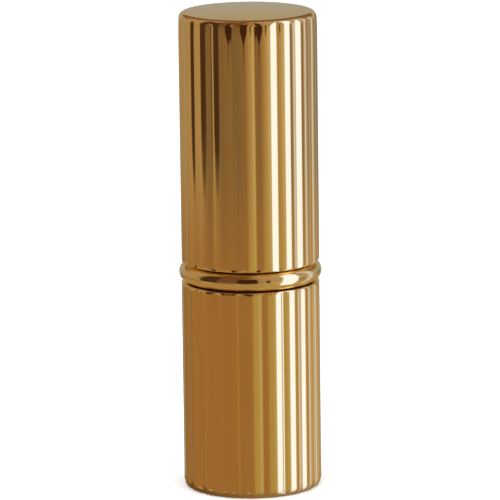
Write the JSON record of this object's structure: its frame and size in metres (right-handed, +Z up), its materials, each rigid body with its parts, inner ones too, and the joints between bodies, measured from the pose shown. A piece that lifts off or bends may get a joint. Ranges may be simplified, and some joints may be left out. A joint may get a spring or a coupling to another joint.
{
  "type": "lipstick case",
  "caption": "Twist-up lipstick case with a reeded metal cap and base, a half-round collar ring, a lift-off cap and a working spiral mechanism that raises the colour stick.",
  "frame": {"origin": "centre of the underside of the base", "axes": "+Z up along the axis of the case, -Y towards the side shown to the viewer"},
  "size_m": [0.0212, 0.0212, 0.072],
  "materials": {
    "gold_cap": "polished, gold anodised",
    "gold_collar": "polished, gold anodised",
    "gold_base": "polished, gold anodised",
    "gold_sleeve": "polished, gold anodised",
    "liner_plastic": "moulded, semi-gloss",
    "mechanism_plastic": "moulded, semi-gloss",
    "cup_plastic": "moulded, gold lacquered",
    "bush_plastic": "moulded, satin",
    "shoulder_plastic": "moulded, satin",
    "weight_steel": "zinc plated",
    "damping_rubber": "matte",
    "colour_wax": "satin wax",
    "label": "plain, satin"
  },
  "bodies": {
    "base": {"base_shell": "gold_base", "base_insert": "bush_plastic", "base_weight": "weight_steel", "base_label": "label", "slotted_tube": "mechanism_plastic", "damping_ring": "damping_rubber"},
    "collar": {"collar_ring": "gold_collar", "shoulder_bush": "shoulder_plastic", "a_shell": "gold_sleeve", "spiral_sleeve": "mechanism_plastic"},
    "cap": {"cap_shell": "gold_cap", "cap_liner": "liner_plastic", "cap_weight": "weight_steel"},
    "carrier": {"carrier_cup": "cup_plastic", "lipstick_bullet": "colour_wax"}
  },
  "joints": [
    {"name": "collar_twist", "type": "hinge", "parent": "base", "child": "collar", "pos_m": [0, 0, 0.03275], "axis": [0, 0, -1], "range_deg": [0, 450]},
    {"name": "stick_rise", "type": "slide", "parent": "base", "child": "carrier", "axis": [0, 0, 1], "range_m": [0, 0.02]},
    {"name": "cap_pull", "type": "slide", "parent": "collar", "child": "cap", "axis": [0, 0, 1], "range_m": [0, 0.045]}
  ],
  "couplings": [
    {"joint": "stick_rise", "follows": "collar_twist", "m_per_rad": 0.0025464}
  ]
}
